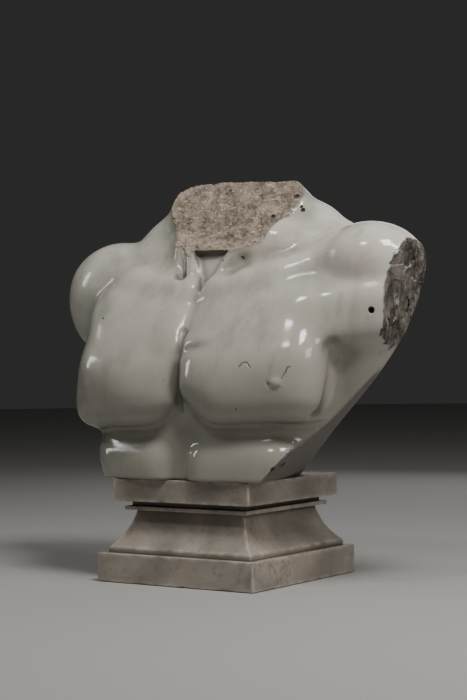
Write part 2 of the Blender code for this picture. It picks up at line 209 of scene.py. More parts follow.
def trunk(points):
    """Waist, rib cage, the girdle between the shoulders, and the two flanks."""
    left = points
    right = mirrored(points)
    body = pad(points, (0, -0.012, 0.036), (0.208, 0.112, 0.22), 3.2)
    body = join(body, pad(points, (0, -0.002, 0.196), (0.226, 0.118, 0.16), 2.4), 0.04)
    body = join(body, limb(points, (-0.20, 0.02, 0.311), (0.20, 0.02, 0.321), 0.066, 0.066), 0.05)
    body = join(body, limb(left, (0.175, 0.02, 0.096), (0.255, 0.015, 0.236), 0.050, 0.058), 0.03)
    return join(body, limb(right, (0.17, 0.02, 0.106), (0.225, 0.02, 0.236), 0.045, 0.05), 0.04)


def back(points):
    """Shoulder blades, broad back muscles and the two columns beside the spine."""
    muscles = None
    for side in (points, mirrored(points)):
        blade = pad(side, (0.115, 0.058, 0.261), (0.085, 0.052, 0.080), 2.0, (0, -18, 0))
        broad = pad(side, (0.120, 0.040, 0.141), (0.085, 0.068, 0.100), 2.0, (0, 14, 0))
        column = limb(side, (0.034, 0.072, -0.004), (0.030, 0.078, 0.196), 0.030, 0.026)
        half = join(join(blade, broad, 0.03), column, 0.02)
        muscles = half if muscles is None else join(muscles, half, 0.01)
    return muscles


def neck(points):
    """Neck column and trapezius ridges, as they were before the neck broke."""
    left = points
    right = mirrored(points)
    left_wall = beyond(left, ((0.106, 0, 0.416), (1, -0.50, -0.10)))
    right_wall = beyond(right, ((0.090, 0, 0.416), (1, -0.66, 0.10)))
    column = trim(left_wall, right_wall, 0.01)
    column = trim(column, pad(points, (-0.012, 0.0025, 0.30), (0.150, 0.0535, 0.40), 2.8), 0.02)
    column = trim(column, beyond(points, ((0, 0, 0.306), (0, 0, -1))), 0.03)
    nape = (0.02, 0.044, 0.430)
    left_ridge = (nape, (0.092, 0.055, 0.430), (0.147, 0.053, 0.398), (0.216, 0.044, 0.362))
    right_ridge = (nape, (0.087, 0.055, 0.429), (0.142, 0.050, 0.386), (0.204, 0.044, 0.338))
    for side, ridge_line in ((left, left_ridge), (right, right_ridge)):
        ridge = limb(side, (0.06, 0.03, 0.336), (0.15, 0.03, 0.346), 0.05, 0.05)
        for start, end in zip(ridge_line[:-1], ridge_line[1:]):
            ridge = join(ridge, limb(side, start, end, 0.035, 0.034), 0.02)
        column = join(column, ridge, 0.04)
    return join(column, pad(left, (0.096, 0.012, 0.362), (0.072, 0.052, 0.056)), 0.02)


def throat_walls(points):
    """Sides between which the neck broke away."""
    left_wall = beyond(points, ((0.122, 0, 0.416), (1, -0.50, -0.10)))
    return np.maximum(left_wall, beyond(mirrored(points), ((0.108, 0, 0.416), (1, -0.66, 0.10))))


def bar(points, route, radii, blend):
    """A round bar through a route of points, with a radius at each of them."""
    whole = None
    for start, end, start_radius, end_radius in zip(route[:-1], route[1:], radii[:-1], radii[1:]):
        piece = limb(points, start, end, start_radius, end_radius)
        whole = piece if whole is None else join(whole, piece, blend)
    return whole


def throat(points):
    """The two tendons that run up from the notch between the collar bones."""
    left = ((0.002, -0.066, 0.285), (0.015, -0.058, 0.304), (0.030, -0.049, 0.328), (0.048, -0.038, 0.372))
    right = ((-0.014, -0.064, 0.283), (-0.021, -0.057, 0.305),
             (-0.026, -0.048, 0.331), (-0.032, -0.038, 0.375))
    return np.minimum(bar(points, left, (0.006, 0.008, 0.0095, 0.011), 0.004),
                      bar(points, right, (0.0085, 0.0112, 0.0118, 0.0125), 0.004))


def turned_out(tip, end, inward):
    """A cut through two points and a direction, facing away from the middle of the throat."""
    normal = np.cross(np.array(end) - tip, inward)
    return tip, normal * np.sign(normal[0]) * np.sign(end[0])


def throat_wedge(points):
    """The hollow between the two tendons, to be cut out."""
    tip = np.array((0.008, -0.071, 0.290))
    left = turned_out(tip, (0.041, -0.052, 0.362), (0.30, 1, 0))
    right = turned_out(tip, (-0.024, -0.052, 0.362), (-0.10, 1, 0))
    back = (tip + np.array((0, 0.005, 0)), (0, 0.074, -0.030))
    roof = ((0, -0.050, 0.3635), (0, 0.45, 1))
    sides = trim(beyond(points, left), beyond(points, right), 0.004)
    return trim(trim(sides, beyond(points, back), 0.007), beyond(points, roof), 0.006)


def throat_hollows(points):
    """Hollows beside the two tendons, above the collar bones."""
    left = ((0.056, -0.058, 0.326), (0.068, -0.050, 0.342))
    right = ((-0.041, -0.059, 0.322), (-0.047, -0.053, 0.345), (-0.054, -0.046, 0.372))
    foot = ((-0.030, -0.065, 0.297), (-0.038, -0.060, 0.318))
    return (furrow(points, left, 0.014, 0.005) + furrow(points, right, 0.0085, 0.0095)
            + furrow(points, foot, 0.008, 0.0035))


def collar_bones(points):
    """The two collar bones, each a bar along a bend."""
    left = ((0.010, -0.060, 0.299), (0.115, -0.072, 0.308), (0.206, -0.021, 0.345))
    right = ((0.018, -0.058, 0.299), (0.110, -0.064, 0.309), (0.205, -0.016, 0.331))
    share = np.linspace(0, 1, COLLAR_BONE_STEPS)[:, None]
    radii = np.linspace(0.009, 0.013, COLLAR_BONE_STEPS)
    bones = None
    for side, (start, bend, end) in ((points, left), (mirrored(points), right)):
        bent = 2 * share * (1 - share) * bend
        route = (1 - share) ** 2 * np.array(start) + bent + share ** 2 * np.array(end)
        bone = bar(side, route, radii, 0.001)
        bones = bone if bones is None else np.minimum(bones, bone)
    return bones


def left_arm(points):
    """Stump of the raised left arm, with the tendon that ties it to the chest."""
    stump = pad(points, (0.290, 0.004, 0.306), (0.10, 0.052, 0.062), 2.2, (0, -6, 8))
    front = pad(points, (0.258, -0.030, 0.252), (0.125, 0.040, 0.047), (2.6, 2.6, 3.0), (0, -3, 9))
    return join(stump, front, 0.03)


def breast(side, drop, spread, lean):
    """One pectoral: its upper part, its lower part and the thick edge along the breastbone."""
    upper = pad(side, (0.104, -0.018, 0.224), (0.146, 0.117, 0.116), 2.0, (6, -8, 8))
    lower_middle = (0.117 + spread / 2, -0.030, 0.1575 - drop)
    lower = pad(side, lower_middle, (0.114 + spread / 2, 0.122, 0.0765), (4.6, 3.0, 3.5), (0, lean, 13))
    edge = limb(side, (0.0335, -0.114, 0.150 - 1.6 * drop), (0.0335, -0.106, 0.210), 0.033, 0.033)
    edge = join(edge, limb(side, (0.0335, -0.106, 0.210), (0.0335, -0.066, 0.280), 0.033, 0.026), 0.02)
    return join(join(upper, lower, 0.04), edge, 0.035)


def shoulders(points):
    """The two shoulder balls, with the break of the right arm under its ball."""
    right = mirrored(points)
    left_ball = pad(points, (0.272, 0.010, 0.337), (0.086, 0.066, 0.062), 2.0, (0, 4, 0))
    right_ball = pad(right, (0.2204, 0.02, 0.300), (0.1034, 0.076, 0.088))
    right_ball = join(right_ball, pad(right, (0.258, 0.02, 0.262), (0.05, 0.055, 0.06)), 0.03)
    right_ball = trim(right_ball, broken(right, RIGHT_ARM_BREAK, small_break_relief), 0.0015)
    return np.minimum(left_ball, right_ball)


def belly(points):
    """The uppermost pair of belly muscles, cut through by the underside."""
    right_points = mirrored(points)
    left = pad(points, (0.095, -0.030, -0.003), (0.108, 0.1085, 0.0850), (5.5, 2.6, 3.4), (0, 0, 6))
    right = pad(right_points, (0.094, -0.030, -0.005), (0.106, 0.1065, 0.0835), (5.5, 2.5, 3.4), (0, 0, 8))
    middle = limb(points, (0, -0.103, -0.030), (0, -0.101, 0.034), 0.0290, 0.018)
    return join(join(left, right, 0.004), middle, 0.008)


def carving(points):
    """Finer chisel work on the front, as the depth by which it takes the surface back."""
    nipple = (0.187, -0.137, 0.1525)
    depth = dent(points, nipple, (0.0070, 0.009, 0.0060), -0.0052)
    depth += dent(points, nipple, (0.0160, 0.012, 0.0140), -0.0012)
    rim = ((0.174, -0.140, 0.153), (0.178, -0.142, 0.1465), (0.186, -0.140, 0.1435), (0.193, -0.138, 0.146))
    depth += furrow(points, rim, 0.0024, 0.0018)
    depth += dent(points, (-0.176, -0.139, 0.150), (0.0080, 0.008, 0.0070), -0.0012)
    depth += dent(points, (0.030, -0.128, 0.2045), (0.027, 0.020, 0.0095), 0.0036, (0, -10, 0))
    depth += dent(points, (0.042, -0.124, 0.2200), (0.034, 0.020, 0.0095), -0.0018, (0, -10, 0))
    return depth + dent(points, (-0.046, -0.131, 0.2010), (0.022, 0.020, 0.0170), 0.0024, (0, 20, 0))


def bore(points):
    """The small drilled hole in front of the arm break."""
    return limb(points, (0.3135, -0.09, 0.260), (0.3080, -0.045, 0.260), 0.0056, 0.0046)


# Small damage to the skin: places and radii of chips, and routes of hairline cracks
CHIPS = (
    ((0.1229, 0.0279, 0.4478), 0.0052),
    ((0.1421, 0.0179, 0.4238), 0.0030),
    ((0.1375, 0.0200, 0.4290), 0.0022),
    ((0.0682, -0.0445, 0.3483), 0.0030),
    ((0.0983, -0.0024, 0.4155), 0.0045),
    ((0.1712, -0.1226, 0.0206), 0.0046),
    ((0.1640, -0.1240, 0.0170), 0.0032),
    ((0.1692, -0.0916, 0.0263), 0.0050),
    ((0.1745, -0.1060, 0.0260), 0.0034),
    ((-0.1722, -0.1000, 0.2580), 0.0018),
)
CRACKS = (
    ((0.1279, -0.1470, 0.1770), (0.1325, -0.1450, 0.1835),
     (0.1395, -0.1440, 0.1840), (0.1462, -0.1450, 0.1760)),
    ((0.2089, -0.1301, 0.1763), (0.2050, -0.1320, 0.1755),
     (0.2030, -0.1330, 0.1690), (0.1969, -0.1367, 0.1590)),
    ((0.1190, -0.1480, 0.1250), (0.1230, -0.1480, 0.1190), (0.1215, -0.1470, 0.1120)),
)


def chips(points):
    """Distance to the small hollows where the skin has chipped."""
    gap = np.full(len(points), np.inf)
    for place, radius in CHIPS:
        gap = np.minimum(gap, np.linalg.norm(points - np.array(place), axis=1) - radius)
    return gap + 0.0012 * lumps(points, 0.0045, 41)


def cracks(points):
    """Distance to the nearest hairline crack."""
    gap = np.full(len(points), np.inf)
    for route in CRACKS:
        for start, end in zip(route[:-1], route[1:]):
            gap = np.minimum(gap, limb(points, start, end, 0, 0))
    return gap


def damaged(points):
    """Distance to the nearest chip, crack or drilled hole."""
    return np.minimum(np.minimum(chips(points), cracks(points)), bore(points))


def side_cut():
    """The slanting saw cut at the figure's left, through three corners that show in the stone."""
    near, far, high = (np.array(corner) for corner in SIDE_CUT_CORNERS)
    direction = np.cross(far - near, high - near)
    if direction[0] < 0:
        direction = -direction
    return tuple(near), tuple(direction)


def chest_slope(points, set_back):
    """Limit of the upper chest, which leans back from the breasts to the collar bones: flat across, with
    a shallow trough over the breastbone."""
    trough = 0.006 * np.exp(-(points[:, 0] / 0.026) ** 2)
    return beyond(points, ((0, -0.1225, 0.2245), (0, -0.842, 0.539))) + set_back + trough


def flanks(points, breasts):
    """Limit of the trunk's sides: the waist and the broad back muscles draw in towards the base, and the
    right breast stands proud of the waist below it."""
    waist = beyond(points, ((0.1164, 0.0395, 0.004), (0.669, 0.461, -0.536)))
    lat = beyond(points, ((0.2299, 0.0723, 0.1533), (0.623, 0.430, -0.749)))
    right_flank = beyond(mirrored(points), ((0.2895, 0.0, 0.1673), (0.803, -0.553, 0.125)))
    right_foot = beyond(mirrored(points), ((0.2515, 0.0, 0.0414), (0.786, -0.541, -0.296)))
    left_side = join(waist, lat, 0.02)
    right_side = trim(right_flank, join(right_foot, breasts, 0.006), 0.02)
    return trim(left_side, right_side, 0.02) - 0.004


def armpit(points):
    """The left armpit and the fold where the breast ends at the flank."""
    fold = ((0.2446, -0.0701, 0.2070), (0.2478, -0.0585, 0.1980), (0.2421, -0.0580, 0.1796),
            (0.2385, -0.0642, 0.1570), (0.2353, -0.0724, 0.1344), (0.2204, -0.0822, 0.1089))
    pit = dent(points, (0.252, -0.048, 0.190), (0.022, 0.022, 0.018), 0.012)
    return furrow(points, fold, 0.010, 0.007) + pit


def upwards(points, foot=0.09, top=0.27):
    """A share that grows softly from 0 at the breasts' foot to 1 at their top."""
    rise = np.clip((points[:, 2] - foot) / (top - foot), 0, 1)
    return rise * rise * (3 - 2 * rise)


def chest(points):
    """Both breasts, which part sharply low down and run together higher up."""
    left = breast(points, 0.0, 0.0, -3)
    right = breast(mirrored(points), 0.010, 0.006, 3)
    both = join(left, right, 0.0035 + 0.019 * upwards(points))
    return trim(both, chest_slope(points, 0.0), 0.02)


def spine(points):
    """The groove down the middle of the back."""
    return furrow(points, ((0, 0.105, -0.004), (0, 0.112, 0.236), (0, 0.100, 0.356)), 0.017, 0.010)


def breastbone(points):
    """The groove between the breasts, wider and shallower at its top."""
    route = ((0, -0.108, 0.232), (0, -0.122, 0.206), (0, -0.130, 0.150), (0, -0.122, 0.112))
    upper = ((0.002, -0.080, 0.275), route[0])
    return furrow(points, route, 0.0060, 0.0030) + furrow(points, upper, 0.010, 0.0018)


def belly_line(points):
    """The hollow under the breastbone and the groove down the belly."""
    hollow = furrow(points, ((0, -0.122, 0.088), (0, -0.122, 0.084)), 0.026, 0.007)
    return hollow + furrow(points, ((0, -0.130, 0.070), (0, -0.131, -0.02)), 0.0065, 0.0040)


def without_neck(body, points, neck_stone, tendons):
    """What the breaks at the neck have left of the body."""
    gone = np.maximum(np.minimum(neck_stone, tendons), throat_walls(points))
    kept = NECK_SPREAD - gone
    body = trim(body, join(broken(points, NECK_BREAK, neck_relief), kept, 0.004), 0.0015)
    return trim(body, join(beyond(points, NECK_TOP), kept, 0.004), 0.004)


def torso_form(points):
    """Distance from points, measured from the torso's underside, to the carved and broken torso."""
    body = join(trunk(points), back(points), 0.02)
    body = trim(body, chest_slope(points, 0.006), 0.03) + spine(points)
    neck_stone = neck(points)
    body = join(body, neck_stone, 0.02)
    breasts = chest(points)
    body = join(body, breasts, 0.006 + 0.016 * upwards(points)) + breastbone(points)
    body = join(body, belly(points), 0.008) + belly_line(points)
    body = trim(body, flanks(points, breasts), 0.02)
    body = join(body, left_arm(points), 0.03)
    body = join(body, shoulders(points), 0.009)
    body = join(body, collar_bones(points), 0.030) + throat_hollows(points)
    tendons = throat(points)
    body = join(body, tendons, 0.006)
    body = trim(body, -throat_wedge(points), 0.002)
    body = without_neck(body, points, neck_stone, tendons)
    body = body + armpit(points) + carving(points)
    body = trim(body, beyond(points, UNDERSIDE), 0.006)
    body = trim(body, beyond(points, side_cut()), 0.003)
    body = trim(body, broken(points, LEFT_ARM_BREAK, arm_relief), 0.0015)
    body = body + CRACK_DEPTH * np.exp(-(cracks(points) / CRACK_WIDTH) ** 2)
    body = trim(body, -chips(points), 0.0008)
    return trim(body, -bore(points), 0.001)


def field(points, size=60000):
    """The form at many points, a slab at a time."""
    slabs = np.array_split(points, max(1, len(points) // size))
    return np.concatenate([torso_form(slab) for slab in slabs])


def lattice(axes):
    """The points of a grid with these axes."""
    return np.stack(np.meshgrid(*axes, indexing="ij"), -1)


def sampled(low, high, cell, step):
    """Form values on a fine grid: exact near the surface, and spread from a coarse grid elsewhere."""
    counts = [int(math.ceil((top - foot) / (cell * step))) for foot, top in zip(low, high)]
    coarse_axes = [foot + cell * step * np.arange(count + 1) for foot, count in zip(low, counts)]
    coarse = field(lattice(coarse_axes).reshape(-1, 3)).reshape([count + 1 for count in counts])
    least = coarse[:-1, :-1, :-1].copy()
    for corner in itertools.product((0, 1), repeat=3):
        part = tuple(slice(offset, offset + count) for offset, count in zip(corner, counts))
        closer = np.abs(coarse[part]) < np.abs(least)
        least[closer] = coarse[part][closer]
    fine = np.repeat(np.repeat(np.repeat(least, step, 0), step, 1), step, 2)
    near = np.abs(fine) < 1.1 * step * cell
    axes = [foot + cell * np.arange(count * step) for foot, count in zip(low, counts)]
    grid = lattice(axes)
    fine[near] = field(grid[near])
    return grid, fine


def slope(points, reach=0.0006):
    """The direction in which the form grows fastest, at each point."""
    steps = []
    for axis in range(3):
        offset = np.zeros(3)
        offset[axis] = reach
        steps.append(field(points + offset) - field(points - offset))
    return np.stack(steps, 1) / (2 * reach)


def settled(points, rounds=2, most=0.0025):
    """The points moved onto the surface."""
    for _ in range(rounds):
        gradient = slope(points)
        length = np.maximum((gradient ** 2).sum(1), 0.05)
        shift = -(field(points) / length)[:, None] * gradient
        size = np.linalg.norm(shift, axis=1)[:, None]
        points = points + shift * np.minimum(1, most / np.maximum(size, 1e-9))
    return points


def skin(grid, values):
    """Closed skin of four-sided faces: one point in each grid cube that the surface crosses, and one face
    round each grid edge that it crosses."""
    shape = np.array(values.shape)
    inside = values < 0
    corners = list(itertools.product((0, 1), repeat=3))
    number = np.zeros(shape - 1, int)
    for corner in corners:
        part = tuple(slice(offset, offset + size - 1) for offset, size in zip(corner, shape))
        number += inside[part]
    crossed = (number > 0) & (number < 8)
    index = np.full(shape - 1, -1)
    index[crossed] = np.arange(crossed.sum())
    cubes = np.argwhere(crossed)
    total = np.zeros((len(cubes), 3))
    found = np.zeros(len(cubes))
    for first, second in itertools.combinations(corners, 2):
        if sum(abs(a - b) for a, b in zip(first, second)) != 1:
            continue
        start = tuple((cubes + first).T)
        end = tuple((cubes + second).T)
        cut = inside[start] != inside[end]
        share = values[start] / np.where(cut, values[start] - values[end], 1)
        place = grid[start] + share[:, None] * (grid[end] - grid[start])
        total += np.where(cut[:, None], place, 0)
        found += cut
    vertices = total / found[:, None]
    faces = []
    for axis in range(3):
        ahead = np.zeros(3, int)
        ahead[axis] = 1
        low = tuple(slice(0, size - offset) for offset, size in zip(ahead, shape))
        high = tuple(slice(offset, size) for offset, size in zip(ahead, shape))
        edges = np.argwhere(inside[low] != inside[high])
        other, last = [number for number in range(3) if number != axis]
        edges = edges[(edges[:, other] > 0) & (edges[:, last] > 0)]
        edges = edges[(edges[:, other] < shape[other] - 1) & (edges[:, last] < shape[last] - 1)]
        ring = []
        for back_other, back_last in ((1, 1), (0, 1), (0, 0), (1, 0)):
            cube = edges.copy()
            cube[:, other] -= back_other
            cube[:, last] -= back_last
            ring.append(index[tuple(cube.T)])
        ring = np.stack(ring, 1)
        flip = inside[tuple(edges.T)] == (axis == 1)
        ring[flip] = ring[flip][:, ::-1]
        faces.append(ring)
    return vertices, np.concatenate(faces)


def finer(vertices, faces, chosen):
    """Splits the chosen triangles in four, and those beside them so that no crack opens."""
    edges = np.sort(np.concatenate([faces[:, [0, 1]], faces[:, [1, 2]], faces[:, [2, 0]]]), 1)
    unique, place = np.unique(edges, axis=0, return_inverse=True)
    place = place.reshape(3, -1).T
    marked = np.zeros(len(unique), bool)
    marked[place[chosen].ravel()] = True
    number = np.full(len(unique), -1)
    number[marked] = len(vertices) + np.arange(marked.sum())
    middle = vertices[unique[marked]].mean(1)
    mids = number[place]
    count = (mids >= 0).sum(1)
    result = [faces[count == 0]]
    for turn in range(3):
        order = [(turn + offset) % 3 for offset in range(3)]
        corner = faces[:, order]
        mid = mids[:, order]
        a, b, c = corner.T
        ab, bc, ca = mid.T
        one = (count == 1) & (ab >= 0)
        result.append(np.stack([a, ab, c], 1)[one])
        result.append(np.stack([ab, b, c], 1)[one])
        two = (count == 2) & (ca < 0)
        result.append(np.stack([ab, b, bc], 1)[two])
        result.append(np.stack([a, ab, bc], 1)[two])
        result.append(np.stack([a, bc, c], 1)[two])
    full = count == 3
    a, b, c = faces[full].T
    ab, bc, ca = mids[full].T
    for three in ((a, ab, ca), (ab, b, bc), (ca, bc, c), (ab, bc, ca)):
        result.append(np.stack(three, 1))
    return np.concatenate([vertices, middle]), np.concatenate(result)


def triangles_of(vertices, quads):
    """Each four-sided face as two triangles, split along its shorter diagonal."""
    a, b, c, d = quads.T
    one = np.linalg.norm(vertices[a] - vertices[c], axis=1)
    other = np.linalg.norm(vertices[b] - vertices[d], axis=1)
    shorter = (one <= other)[:, None]
    first = np.where(shorter, np.stack([a, b, c], 1), np.stack([a, b, d], 1))
    second = np.where(shorter, np.stack([a, c, d], 1), np.stack([b, c, d], 1))
    return np.concatenate([first, second])


def on_neck_break(points):
    """How surely points lie on the neck break, from 0 to 1."""
    height = np.maximum(broken(points, NECK_BREAK, neck_relief), beyond(points, NECK_TOP))
    gone = np.maximum(np.minimum(neck(points), throat(points)), throat_walls(points))
    within = np.clip((NECK_SPREAD - gone) / 0.002, 0, 1)
    return within * np.clip(1 + (height + 0.0006) / 0.0012, 0, 1)


def near_break(height):
    """How surely points lie on a break, from 0 to 1, by their height above it."""
    return np.clip(1 - (np.abs(height) - 0.0008) / 0.0012, 0, 1)


def on_arm_break(points):
    """How surely points lie on the left arm's break, from 0 to 1."""
    return near_break(broken(points, LEFT_ARM_BREAK, arm_relief))


def on_right_arm_break(points, normals=None):
    """How surely points lie on the right arm's break, from 0 to 1. Normals leave out skin that only
    crosses it."""
    right = mirrored(points)
    share = near_break(broken(right, RIGHT_ARM_BREAK, small_break_relief)) * (right[:, 0] > 0.19)
    if normals is not None:
        outward = np.array(RIGHT_ARM_BREAK[1]) / np.linalg.norm(RIGHT_ARM_BREAK[1])
        share = share * np.clip((mirrored(normals) @ outward - 0.50) / 0.15, 0, 1)
    return share


def torso_skin():
    """Points and triangles of the torso, finest on the breaks and at small damage."""
    grid, values = sampled(FIELD_LOW, FIELD_HIGH, SKIN_CELL, COARSE_STEP)
    vertices, quads = skin(grid, values)
    vertices = settled(vertices)
    faces = triangles_of(vertices, quads)
    for reach, with_breaks in SPLITTING:
        fine = damaged(vertices) < reach
        if with_breaks:
            for share in (on_neck_break, on_arm_break, on_right_arm_break):
                fine = fine | (share(vertices) > 0)
        before = len(vertices)
        vertices, faces = finer(vertices, faces, fine[faces].any(1))
        vertices[before:] = settled(vertices[before:])
    return vertices, faces


def torso_shares(vertices, normals):
    """What the marble's colours are told at each point, from 0 to 1."""
    # Painted shade in hollows, partly the stone's patina: how closely stone surrounds each point
    hollow = np.zeros(len(vertices))
    for reach in HOLLOW_REACHES:
        hollow += (1 - np.clip(field(vertices + reach * normals) / reach, 0, 1)) / len(HOLLOW_REACHES)
    # Chips and cracks go dark: dirt, with painted shade in the chips
    flaw = np.minimum(chips(vertices), cracks(vertices) - DIRT_SPREAD)
    return {
        "neck_break": on_neck_break(vertices),
        "arm_break": np.maximum(on_arm_break(vertices), on_right_arm_break(vertices, normals)),
        "hollow": np.clip(hollow, 0, 1),
        "dirt_and_shade": np.clip(1.2 - flaw / DIRT_SPREAD, 0, 1),
        # The sawn face: duller, and darkened with painted shade
        "sawn_and_shaded": np.clip(1.5 - np.abs(beyond(vertices, side_cut())) / 0.0010, 0, 1),
    }


def piece_of(mesh, shares):
    """An object for a finished mesh, whose points keep the named shares that its material reads."""
    for name, share in shares.items():
        attribute = mesh.attributes.new(name, "FLOAT", "POINT")
        attribute.data.foreach_set("value", share.astype(np.float32).ravel())
    piece = bpy.data.objects.new(mesh.name, mesh)
    bpy.context.scene.collection.objects.link(piece)
    return piece


def make_torso():
    vertices, faces = torso_skin()
    gradient = slope(vertices)
    normals = gradient / np.maximum(np.linalg.norm(gradient, axis=1), 1e-9)[:, None]
    mesh = bpy.data.meshes.new("torso_marble")
    mesh.vertices.add(len(vertices))
    mesh.vertices.foreach_set("co", (vertices + np.array([0, 0, TORSO_FOOT])).ravel())
    mesh.loops.add(3 * len(faces))
    mesh.loops.foreach_set("vertex_index", faces.ravel())
    mesh.polygons.add(len(faces))
    mesh.polygons.foreach_set("loop_start", 3 * np.arange(len(faces)))
    mesh.polygons.foreach_set("use_smooth", np.ones(len(faces), bool))
    mesh.update(calc_edges=True)
    mesh.validate()
    mesh.normals_split_custom_set_from_vertices([tuple(normal) for normal in normals])
    return piece_of(mesh, torso_shares(vertices, normals))


class Nodes:
    """A material's node tree with short ways to add what stone needs."""

    def __init__(self, name):
        self.material = bpy.data.materials.new(name)
        self.material.use_nodes = True
        self.tree = self.material.node_tree
        self.shader = self.tree.nodes["Principled BSDF"]
        self.place = self.add("ShaderNodeTexCoord").outputs["Object"]

    def add(self, kind, **settings):
        node = self.tree.nodes.new(kind)
        for name, value in settings.items():
            setattr(node, name, value)
        return node

    def link(self, source, target):
        if isinstance(source, bpy.types.NodeSocket):
            self.tree.links.new(source, target)
        else:
            target.default_value = source

    def noise(self, scale, detail=4.0, stretch=(1, 1, 1), rough=0.55, distortion=0.0):
        mapping = self.add("ShaderNodeMapping")
        mapping.inputs["Scale"].default_value = stretch
        self.link(self.place, mapping.inputs["Vector"])
        noise = self.add("ShaderNodeTexNoise")
        self.link(mapping.outputs["Vector"], noise.inputs["Vector"])
        noise.inputs["Scale"].default_value = scale
        noise.inputs["Detail"].default_value = detail
        noise.inputs["Roughness"].default_value = rough
        noise.inputs["Distortion"].default_value = distortion
        return noise.outputs["Fac"]

    def ranged(self, value, low, high, out_low=0.0, out_high=1.0):
        node = self.add("ShaderNodeMapRange")
        node.interpolation_type = "SMOOTHSTEP"
        self.link(value, node.inputs["Value"])
        limits = {"From Min": low, "From Max": high, "To Min": out_low, "To Max": out_high}
        for name, number in limits.items():
            node.inputs[name].default_value = number
        return node.outputs["Result"]

    def math(self, operation, first, second):
        node = self.add("ShaderNodeMath", operation=operation)
        self.link(first, node.inputs[0])
        self.link(second, node.inputs[1])
        return node.outputs["Value"]

    def mix(self, share, first, second):
        node = self.add("ShaderNodeMix", data_type="RGBA")
        self.link(share, node.inputs["Factor"])
        for value, socket in ((first, node.inputs[6]), (second, node.inputs[7])):
            self.link(value if isinstance(value, bpy.types.NodeSocket) else (*value, 1), socket)
        return node.outputs[2]

    def tint(self, colour, share, strength, other):
        """A colour with another laid over it, as strongly as a share from 0 to 1 and a strength say."""
        return self.mix(self.math("MULTIPLY", share, strength), colour, other)

    def height(self):
        split = self.add("ShaderNodeSeparateXYZ")
        self.link(self.place, split.inputs["Vector"])
        return split.outputs["Z"]

    def attribute(self, name):
        return self.add("ShaderNodeAttribute", attribute_name=name).outputs["Fac"]

    def bump(self, height, strength, distance):
        node = self.add("ShaderNodeBump")
        node.inputs["Strength"].default_value = strength
        node.inputs["Distance"].default_value = distance
        self.link(height, node.inputs["Height"])
        self.link(node.outputs["Normal"], self.shader.inputs["Normal"])


def clean_skin(marble, hollow):
    """Colour of the polished skin: clouds, a blush, streaks, painted shade low down, and painted shade and
    patina in hollows.
    """
    cream = (0.640, 0.600, 0.535)
    clouds = marble.ranged(marble.noise(5, 6, (1, 1, 0.7), 0.62, 0.8), 0.42, 0.62)
    colour = marble.tint(cream, clouds, 0.72, (0.385, 0.405, 0.335))
    blush = marble.ranged(marble.noise(11, 6, rough=0.65), 0.49, 0.68)
    colour = marble.tint(colour, blush, 0.55, (0.545, 0.445, 0.400))
    streaks = marble.ranged(marble.noise(24, 6, (1, 1, 0.25), 0.62), 0.50, 0.70)
    colour = marble.tint(colour, streaks, 0.42, (0.285, 0.270, 0.222))
    # Darker towards the bottom: painted shade, where less light falls.
    painted_low_shade = marble.ranged(marble.height(), 0.52, 0.26)
    colour = marble.tint(colour, painted_low_shade, 0.74, (0.245, 0.236, 0.194))
    # Darker in the hollows: painted shade, partly the stone's patina.
    return marble.tint(colour, hollow, 0.86, (0.110, 0.108, 0.078))


def neck_stone_colour(marble):
    """Colour of the neck break: tan stone with pale fibres, paler patches and dark pits."""
    tone = marble.ranged(marble.noise(48, 8, rough=0.72), 0.36, 0.64)
    colour = marble.mix(tone, (0.135, 0.104, 0.078), (0.330, 0.268, 0.208))
    fibres = marble.ranged(marble.noise(170, 5, (0.45, 1, 1), 0.7, 0.8), 0.53, 0.68)
    colour = marble.tint(colour, fibres, 0.75, (0.63, 0.56, 0.43))
    pale = marble.ranged(marble.noise(11, 4), 0.50, 0.64)
    colour = marble.tint(colour, pale, 0.5, (0.50, 0.405, 0.345))
    pits = marble.ranged(marble.noise(85, 4), 0.38, 0.29)
    return marble.tint(colour, pits, 0.85, (0.045, 0.035, 0.027))


def arm_stone_colour(marble):
    """Colour of the arm breaks: dark and mid grey in upright layers."""
    tone = marble.ranged(marble.noise(60, 6, (1, 1, 0.3), 0.65), 0.36, 0.66)
    return marble.mix(tone, (0.050, 0.043, 0.036), (0.235, 0.210, 0.180))


def polished_marble():
    marble = Nodes("polished marble")
    # Hollows: painted shade, partly patina; the same share also dulls the polish.
    hollow = marble.ranged(marble.attribute("hollow"), 0.03, 0.52)
    sawn_and_shaded = marble.attribute("sawn_and_shaded")
    dirt_and_shade = marble.attribute("dirt_and_shade")
    neck_break = marble.attribute("neck_break")
    arm_break = marble.attribute("arm_break")
    colour = clean_skin(marble, hollow)
    spots = marble.ranged(marble.noise(150, 3), 0.655, 0.75)
    colour = marble.tint(colour, spots, 0.5, (0.20, 0.17, 0.13))
    # The sawn face painted dark: painted shade.
    colour = marble.tint(colour, sawn_and_shaded, 0.85, (0.115, 0.096, 0.086))
    # Darker in chips and along hairline cracks: dirt, and painted shade in the chips.
    colour = marble.tint(colour, dirt_and_shade, 0.85, (0.040, 0.033, 0.026))
    colour = marble.mix(neck_break, colour, neck_stone_colour(marble))
    colour = marble.mix(arm_break, colour, arm_stone_colour(marble))
    marble.link(colour, marble.shader.inputs["Base Color"])
    on_break = marble.math("MAXIMUM", neck_break, arm_break)
    roughness = marble.ranged(marble.noise(14, 4), 0.3, 0.7, 0.09, 0.19)
    dull_places = ((on_break, 0.85), (hollow, 0.5), (sawn_and_shaded, 0.62), (dirt_and_shade, 0.62))
    for share, most in dull_places:
        roughness = marble.math("MAXIMUM", roughness, marble.math("MULTIPLY", share, most))
    marble.link(roughness, marble.shader.inputs["Roughness"])
    marble.bump(marble.math("MULTIPLY", marble.noise(420, 4), on_break), 0.8, 0.0018)
    marble.shader.inputs["Subsurface Weight"].default_value = 0.03
    marble.shader.inputs["Subsurface Radius"].default_value = (1.0, 0.8, 0.6)
    marble.shader.inputs["Subsurface Scale"].default_value = 0.004
    return marble.material


